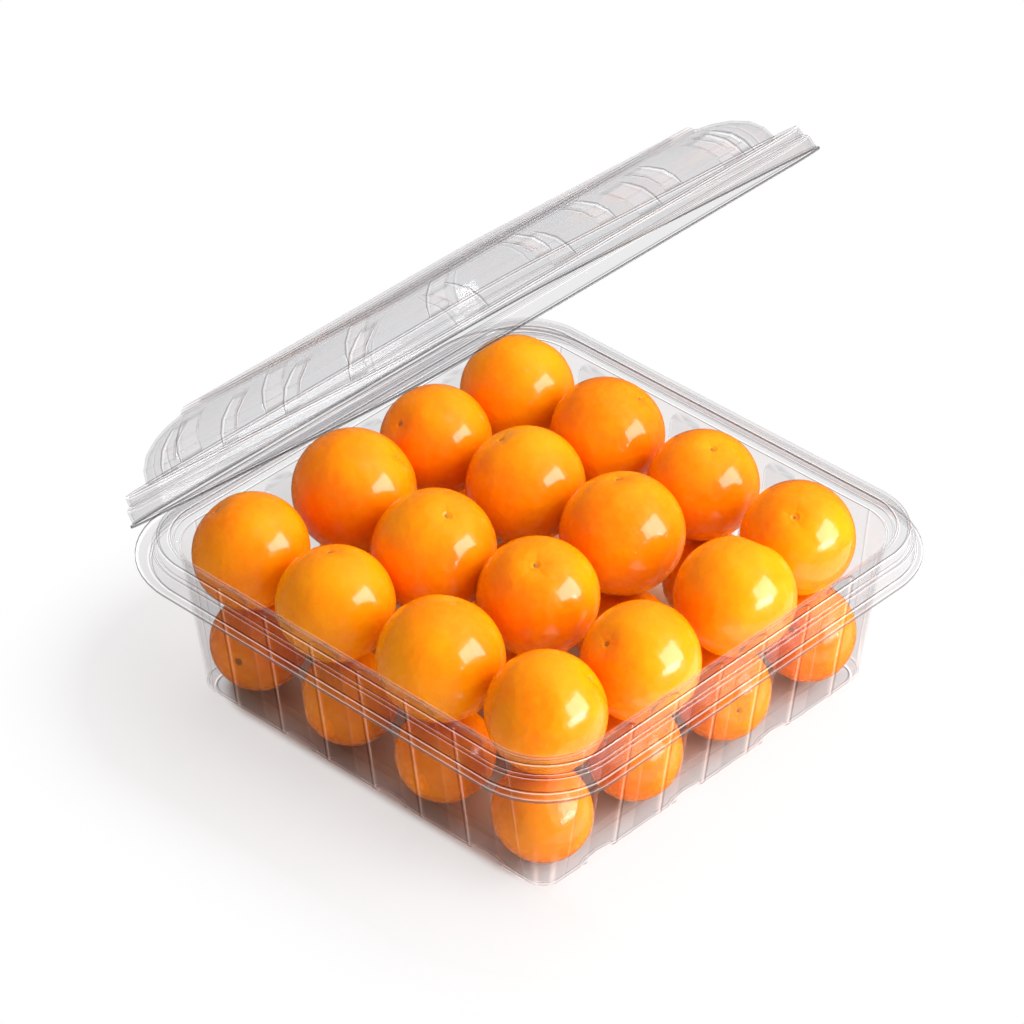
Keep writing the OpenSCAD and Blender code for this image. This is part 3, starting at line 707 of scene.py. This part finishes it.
class ClamshellLooks(bpy.types.PropertyGroup):
    """Sizes and colours of the sheet and the fruit"""

    sheet_tint: bpy.props.FloatVectorProperty(
        name="Sheet tint", description="Colour of the clear sheet seen square on",
        subtype="COLOR", size=3, default=(0.908, 0.908, 0.912), min=0, max=1)
    edge_tint: bpy.props.FloatVectorProperty(
        name="Edge tint", description="Colour of the clear sheet seen along its surface",
        subtype="COLOR", size=3, default=(0.82, 0.82, 0.825), min=0, max=1)
    # The next three set the painted shade lines in the sheet's bends and the painted highlight
    # lines beside them; the shade tint also darkens the sheet where it is seen almost edge on
    bend_shade_tint: bpy.props.FloatVectorProperty(
        name="Bend tint", description="Colour of the clear sheet in its tight bends",
        subtype="COLOR", size=3, default=(0.26, 0.255, 0.26), min=0, max=1)
    bend_shade: bpy.props.FloatProperty(
        name="Bend shade", description="How strongly the tight bends are shaded",
        default=0.8, min=0, max=1, subtype="FACTOR")
    bend_glint: bpy.props.FloatProperty(
        name="Bend glint", description="How strongly the light line beside a bend shows",
        default=0.4, min=0, max=1, subtype="FACTOR")
    haze: bpy.props.FloatVectorProperty(
        name="Haze", description="Colour of the faint haze on the sheet",
        subtype="COLOR", size=3, default=(0.012, 0.012, 0.012), min=0, max=1)
    edge_gloss: bpy.props.FloatProperty(
        name="Edge gloss", description="Share of the gloss kept where the sheet is seen edge on",
        default=0.5, min=0, max=1, subtype="FACTOR")
    face_gloss: bpy.props.FloatProperty(
        name="Face gloss", description="Share of the gloss kept where the sheet is seen square on",
        default=0.25, min=0, max=1, subtype="FACTOR")
    deep_orange: bpy.props.FloatVectorProperty(
        name="Deep orange", description="Colour of the ripest rind",
        subtype="COLOR", size=3, default=(0.94, 0.20, 0.0008), min=0, max=1)
    gold: bpy.props.FloatVectorProperty(
        name="Gold", description="Colour of the yellower patches of rind",
        subtype="COLOR", size=3, default=(0.95, 0.295, 0.0012), min=0, max=1)
    pore: bpy.props.FloatVectorProperty(
        name="Pores", description="Colour of the fine pores",
        subtype="COLOR", size=3, default=(0.75, 0.16, 0.002), min=0, max=1)
    scar: bpy.props.FloatVectorProperty(
        name="Scar", description="Colour of the ring round a stem scar and of small specks",
        subtype="COLOR", size=3, default=(0.20, 0.085, 0.02), min=0, max=1)
    stem: bpy.props.FloatVectorProperty(
        name="Stem", description="Colour of the middle of a stem scar",
        subtype="COLOR", size=3, default=(0.33, 0.24, 0.10), min=0, max=1)
    coat: bpy.props.FloatProperty(
        name="Rind gloss", description="Strength of the glossy layer on the rind",
        default=0.5, min=0, max=1, subtype="FACTOR")
    fruit_fill: bpy.props.FloatProperty(
        name="Fruit fill", description="Size of a fruit as a share of its CAD solid",
        default=1.0, min=0.9, max=1.02, subtype="FACTOR")
    fruit_squat: bpy.props.FloatProperty(
        name="Fruit squat", description="Height of a fruit as a share of its width",
        default=0.98, min=0.9, max=1.0, subtype="FACTOR")


class ClamshellStage(bpy.types.PropertyGroup):
    """The floor, lamps and camera round the pack"""

    floor_size: bpy.props.FloatProperty(
        name="Floor size", description="Width of the pale floor", default=12.0, min=2,
        unit="LENGTH", subtype="DISTANCE")
    floor_gap: bpy.props.FloatProperty(
        name="Floor gap", description="Gap between the pack and the floor", default=0.0003,
        min=0, max=0.001, precision=4, unit="LENGTH", subtype="DISTANCE")
    floor_colour: bpy.props.FloatVectorProperty(
        name="Floor colour", description="Colour of the floor", subtype="COLOR", size=3,
        default=(0.62, 0.617, 0.615), min=0, max=1)
    floor_bounce: bpy.props.FloatVectorProperty(
        name="Floor bounce", description="Colour of the floor for the light that it gives back",
        subtype="COLOR", size=3, default=(0.90, 0.895, 0.89), min=0, max=1)
    # Painted shade beneath the pack, warm as with light bounced off the fruit
    beneath_shade_colour: bpy.props.FloatVectorProperty(
        name="Colour beneath",
        description="Colour of the floor beneath the pack, warmed by the fruit",
        subtype="COLOR", size=3, default=(0.62, 0.40, 0.27), min=0, max=1)
    shadow_lift: bpy.props.FloatProperty(
        name="Shadow lift", description="How much the shadow beside the pack is lightened",
        default=0.62, min=0, max=1, subtype="FACTOR")
    shadow_from: bpy.props.FloatProperty(
        name="Shadow fades from",
        description="Distance from the pack where its shadow starts to fade",
        default=0.012, min=0, max=1, unit="LENGTH", subtype="DISTANCE")
    shadow_to: bpy.props.FloatProperty(
        name="Shadow fades to",
        description="Distance from the pack where the floor is plain white",
        default=0.085, min=0, max=1, unit="LENGTH", subtype="DISTANCE")
    sky: bpy.props.FloatProperty(
        name="Surround", description="Brightness of the room's light", default=0.43, min=0, max=2)
    reflected_sky: bpy.props.FloatProperty(
        name="Reflected surround", description="Brightness of the room in glossy surfaces",
        default=0.09, min=0, max=2)
    lens: bpy.props.FloatProperty(
        name="Lens", description="Focal length of the camera in millimetres", default=184.0,
        min=20, max=400)
    see_through: bpy.props.IntProperty(
        name="See through",
        description="How many clear faces can be seen through, one after another",
        default=32, min=8, max=64)
    camera_place: bpy.props.FloatVectorProperty(
        name="Camera place", description="Where the camera stands", subtype="TRANSLATION",
        unit="LENGTH", size=3, default=(-0.7966, -0.7457, 0.8497))
    camera_aim: bpy.props.FloatVectorProperty(
        name="Camera aim", description="The point that the camera looks at",
        subtype="TRANSLATION", unit="LENGTH", size=3, default=(0.0007, 0.00845, 0.0505))


# Operators ----------------------------------------------------------------------------------

class CLAMSHELL_OT_tray(bpy.types.Operator):
    """Build the clear tray with its pocketed walls and stepped rim"""

    bl_idname = "clamshell.make_tray"
    bl_label = "Tray"

    def execute(self, context):
        looks = context.scene.clamshell_looks
        spots = side_spots(POCKETS, POCKET_PITCH, POCKET_W)
        mesh = sheet_mesh("tray_sheet", tray_stations(), tray_relief, spots,
                          TRAY_STEP, ARCH_ZONE, TRAY_DRAWN)
        add_piece("tray_sheet", mesh, material_named("clear_plastic", sheet_material, looks),
                  "tray_body", "tray")
        return {"FINISHED"}


class CLAMSHELL_OT_lid(bpy.types.Operator):
    """Build the domed clear lid and open it to the angle it rests at"""

    bl_idname = "clamshell.make_lid"
    bl_label = "Lid"

    def execute(self, context):
        looks = context.scene.clamshell_looks
        spots = side_spots(STRIPS, STRIP_PITCH, STRIP_W)
        mesh = sheet_mesh("lid_sheet", lid_stations(), lid_relief, spots,
                          LID_STEP, NO_ZONE, LID_DRAWN)
        open_deg = -HINGE["range_deg"][0]
        mesh.transform(lid_turn(open_deg))
        add_piece("lid_sheet", mesh, material_named("clear_plastic", sheet_material, looks),
                  "lid_body", "lid")
        return {"FINISHED"}


class CLAMSHELL_OT_lower_fruit(bpy.types.Operator):
    """Lay the lower layer of fruit on the floor of the tray"""

    bl_idname = "clamshell.make_lower_fruit"
    bl_label = "Lower fruit"

    def execute(self, context):
        for n in range(1, LAYER_SIZE + 1):
            place_fruit(f"fruit_lower_{n}", context.scene.clamshell_looks)
        return {"FINISHED"}


class CLAMSHELL_OT_upper_fruit(bpy.types.Operator):
    """Lay the upper layer of fruit on the lower one"""

    bl_idname = "clamshell.make_upper_fruit"
    bl_label = "Upper fruit"

    def execute(self, context):
        for n in range(1, LAYER_SIZE + 1):
            place_fruit(f"fruit_upper_{n}", context.scene.clamshell_looks)
        return {"FINISHED"}


SENSOR_WIDTH = 36.0
MAX_BOUNCES, DIFFUSE_BOUNCES, GLOSSY_BOUNCES = 6, 3, 2


def toward(azimuth, elevation, distance):
    """A place this far from the middle of the floor, by its two angles in degrees."""
    a, e = math.radians(azimuth), math.radians(elevation)
    return Vector((math.cos(a) * math.cos(e), math.sin(a) * math.cos(e), math.sin(e))) * distance


# Rays that meet a lamp: a soft one isn't mirrored in the sheet, and a card is only mirrored
RAYS = ("camera", "diffuse", "glossy", "transmission")
ALL_RAYS, SOFT_ONLY, MIRRORED_ONLY = RAYS, ("camera", "diffuse", "transmission"), ("glossy",)
# Each lamp's place, aim, width, height and watts, and the rays that meet it. The low card lies on
# the floor and faces up.
AIM = (0.0, 0.0, 0.03)
LAMPS = {
    "side_softbox": (toward(-68.5, 38, 1.0), AIM, 0.7, 0.55, 9.0, SOFT_ONLY),
    "low_fill": (toward(-80, 12, 0.9), AIM, 0.6, 0.2, 5.0, ALL_RAYS),
    "highlight_card": (toward(-68.5, 27, 0.9), AIM, 0.68, 0.56, 12.5, MIRRORED_ONLY),
    "low_card": ((0.04, -0.125, 0.001), (0.04, -0.125, 1.0), 0.24, 0.09, 0.12, MIRRORED_ONLY),
    "top_softbox": (toward(-8, 58, 1.6), AIM, 1.8, 1.8, 25.0, SOFT_ONLY),
}


def add_lamp(name, place, aim, width, height, watts, met_by):
    lamp = bpy.data.lights.new(name, "AREA")
    lamp.shape = "RECTANGLE"
    lamp.size, lamp.size_y, lamp.energy = width, height, watts
    holder = bpy.data.objects.new(name, lamp)
    holder.location = place
    holder.rotation_euler = (Vector(aim) - Vector(place)).to_track_quat("-Z", "Y").to_euler()
    bpy.context.scene.collection.objects.link(holder)
    for rays in RAYS:
        setattr(holder, "visible_" + rays, rays in met_by)


class CLAMSHELL_OT_stage(bpy.types.Operator):
    """Set the pale floor, the soft lamps, the white surround and the camera"""

    bl_idname = "clamshell.make_stage"
    bl_label = "Stage"

    def execute(self, context):
        stage = context.scene.clamshell_stage
        half = stage.floor_size / 2
        mesh = mesh_from("floor", [(-half, -half, 0), (half, -half, 0), (half, half, 0),
                                   (-half, half, 0)], [(0, 1, 2, 3)], 30)
        floor = bpy.data.objects.new("floor", mesh)
        floor.location.z = -stage.floor_gap
        context.scene.collection.objects.link(floor)
        mesh.materials.append(floor_material(stage))
        for name, settings in LAMPS.items():
            add_lamp(name, *settings)
        self.make_world(context.scene, stage)
        self.make_camera(context.scene, stage)
        return {"FINISHED"}

    def make_world(self, scene, stage):
        world = bpy.data.worlds.new("white_surround")
        world.use_nodes = True
        world.node_tree.nodes.clear()
        n = Nodes(world.node_tree)
        path = n.add("ShaderNodeLightPath")
        strength = n.ramp(seen_ray(n), 0.0, 1.0, stage.sky, 1.0)
        strength = n.ramp(path.outputs["Is Glossy Ray"], 0.0, 1.0, strength, stage.reflected_sky)
        light = n.add("ShaderNodeBackground", {"Color": (1, 1, 1, 1), "Strength": strength})
        n.add("ShaderNodeOutputWorld", {"Surface": light.outputs[0]})
        scene.world = world

    def make_camera(self, scene, stage):
        camera = bpy.data.cameras.new("photo_camera")
        camera.lens, camera.sensor_width = stage.lens, SENSOR_WIDTH
        holder = bpy.data.objects.new("photo_camera", camera)
        holder.location = stage.camera_place
        way = Vector(stage.camera_aim) - Vector(stage.camera_place)
        holder.rotation_euler = way.to_track_quat("-Z", "Y").to_euler()
        scene.collection.objects.link(holder)
        scene.camera = holder
        scene.view_settings.view_transform = "Standard"
        scene.cycles.transparent_max_bounces = stage.see_through
        scene.cycles.max_bounces = MAX_BOUNCES
        scene.cycles.diffuse_bounces = DIFFUSE_BOUNCES
        scene.cycles.glossy_bounces = GLOSSY_BOUNCES
        scene.cycles.caustics_reflective = scene.cycles.caustics_refractive = False


def seen_ray(n):
    """1 for the camera's own rays, and for those it sees in glossy and clear surfaces."""
    path = n.add("ShaderNodeLightPath")
    seen = n.math("ADD", path.outputs["Is Camera Ray"], path.outputs["Is Glossy Ray"], clamp=True)
    return n.math("ADD", seen, path.outputs["Is Transmission Ray"], clamp=True)


# Where the floor's tints start and end, in metres. The painted shade beneath the pack, warm as
# with light bounced off the fruit: half width, and how it pales toward the front. The base that
# the shadow is measured from, and the belt in which the shadow beside it is lifted. On the side
# that faces the light the floor is lifted from closer by, and only in front of LIT_Y and to the
# right of
# LIT_X.
UNDER_EDGE, UNDER_Y, UNDER_FRONT = (0.052, 0.060), (-0.062, -0.02), 0.3
BASE_REACH, BESIDE = 0.045, (0.0145, 0.019)
LIT_APART, LIT_LIFT, LIT_Y, LIT_X = (0.002, 0.016), 0.85, (-0.064, -0.046), (-0.085, -0.05)


def floor_material(stage):
    """Pale floor with painted warm shade beneath the pack; it keeps the pack's shadow near it and
    turns plain white further out.
    """
    material, n = new_material("pale_floor")
    path = n.add("ShaderNodeLightPath")
    where = n.add("ShaderNodeTexCoord").outputs["Object"]
    side = n.add("ShaderNodeSeparateXYZ", {0: where})
    x, y = side.outputs[0], side.outputs[1]
    ways = [n.math("ABSOLUTE", x), n.math("ABSOLUTE", y)]
    # Painted shade beneath the pack, warm as with light bounced off the fruit, paler toward the
    # front
    under = n.ramp(n.math("MAXIMUM", *ways), *UNDER_EDGE, 1.0, 0.0)
    under = n.math("MULTIPLY", under, n.ramp(y, *UNDER_Y, UNDER_FRONT, 1.0))
    colour = n.mix(under, (*stage.floor_colour, 1), (*stage.beneath_shade_colour, 1))
    colour = n.mix(path.outputs["Is Diffuse Ray"], colour, (*stage.floor_bounce, 1))
    plain = n.add("ShaderNodeBsdfDiffuse", {"Color": colour})
    far = [n.math("MAXIMUM", n.math("SUBTRACT", way, BASE_REACH), 0) for way in ways]
    apart = n.math("SQRT", n.math("ADD", *[n.math("POWER", way, 2.0) for way in far]))
    beside = n.ramp(apart, *BESIDE, 0.0, stage.shadow_lift)
    lit_side = n.math("MULTIPLY", n.ramp(apart, *LIT_APART, 0.0, LIT_LIFT),
                      n.ramp(y, *LIT_Y, 1.0, 0.0))
    lit_side = n.math("MULTIPLY", lit_side, n.ramp(x, *LIT_X))
    beside = n.math("MAXIMUM", beside, lit_side)
    share = n.math("MAXIMUM", beside, n.ramp(apart, stage.shadow_from, stage.shadow_to))
    white = n.math("MULTIPLY", seen_ray(n), share)
    strength = n.ramp(path.outputs["Is Glossy Ray"], 0.0, 1.0, 1.0, stage.reflected_sky)
    glow = n.add("ShaderNodeEmission", {"Color": (1, 1, 1, 1), "Strength": strength})
    both = n.add("ShaderNodeMixShader", {0: white, 1: plain.outputs[0], 2: glow.outputs[0]})
    n.add("ShaderNodeOutputMaterial", {"Surface": both.outputs[0]})
    return material


PIECE_OPERATORS = (CLAMSHELL_OT_stage, CLAMSHELL_OT_tray, CLAMSHELL_OT_lid,
                   CLAMSHELL_OT_lower_fruit, CLAMSHELL_OT_upper_fruit)


class CLAMSHELL_PT_panel(bpy.types.Panel):
    """Lists the pieces of the pack and their settings"""

    bl_idname = "CLAMSHELL_PT_panel"
    bl_label = "Clamshell pack"
    bl_space_type = "VIEW_3D"
    bl_region_type = "UI"
    bl_category = "Clamshell"

    def draw(self, context):
        for piece in PIECE_OPERATORS:
            self.layout.operator(piece.bl_idname, text=piece.bl_label)
        for settings in (context.scene.clamshell_looks, context.scene.clamshell_stage):
            box = self.layout.box()
            for name in settings.bl_rna.properties.keys():
                if name not in ("rna_type", "name"):
                    box.prop(settings, name)


CLASSES = (ClamshellLooks, ClamshellStage) + PIECE_OPERATORS + (CLAMSHELL_PT_panel,)


def register():
    for cls in CLASSES:
        bpy.utils.register_class(cls)
    bpy.types.Scene.clamshell_looks = bpy.props.PointerProperty(type=ClamshellLooks)
    bpy.types.Scene.clamshell_stage = bpy.props.PointerProperty(type=ClamshellStage)


def unregister():
    del bpy.types.Scene.clamshell_stage
    del bpy.types.Scene.clamshell_looks
    for cls in reversed(CLASSES):
        bpy.utils.unregister_class(cls)


def main():
    register()
    bpy.ops.clamshell.make_stage()
    bpy.ops.clamshell.make_tray()
    bpy.ops.clamshell.make_lid()
    bpy.ops.clamshell.make_lower_fruit()
    bpy.ops.clamshell.make_upper_fruit()


if __name__ == "__main__":
    main()
